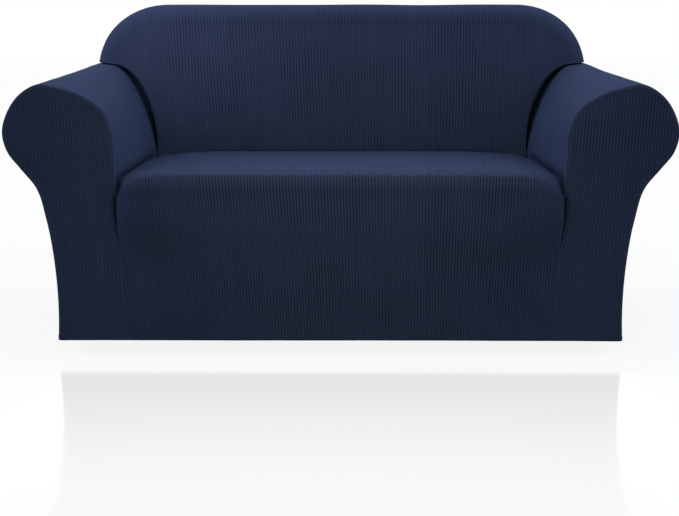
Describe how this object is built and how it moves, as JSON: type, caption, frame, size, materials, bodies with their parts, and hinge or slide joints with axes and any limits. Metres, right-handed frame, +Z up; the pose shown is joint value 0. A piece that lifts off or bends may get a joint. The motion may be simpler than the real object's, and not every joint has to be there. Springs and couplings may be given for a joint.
{
  "type": "sofa slipcover",
  "caption": "Fitted stretch-knit slipcover for a sofa with rolled arms, ribbed, sewn from shaped panels, shown in the form it takes pulled on.",
  "frame": {"origin": "inner side of the cloth under the top of the back, on the centre line, where the sofa holds the cover up", "axes": "+X to the right seen from the front, +Y to the rear, +Z up"},
  "size_m": [1.6862, 0.8957, 0.8651],
  "materials": {
    "ribbed_knit": "matte fine-ribbed stretch knit, dark navy"
  },
  "bodies": {
    "root": {"inside_back": "ribbed_knit", "outside_back": "ribbed_knit", "seat_apron": "ribbed_knit", "arm_cover_left": "ribbed_knit", "arm_cover_right": "ribbed_knit", "arm_front_left": "ribbed_knit", "arm_front_right": "ribbed_knit"}
  },
  "joints": []
}
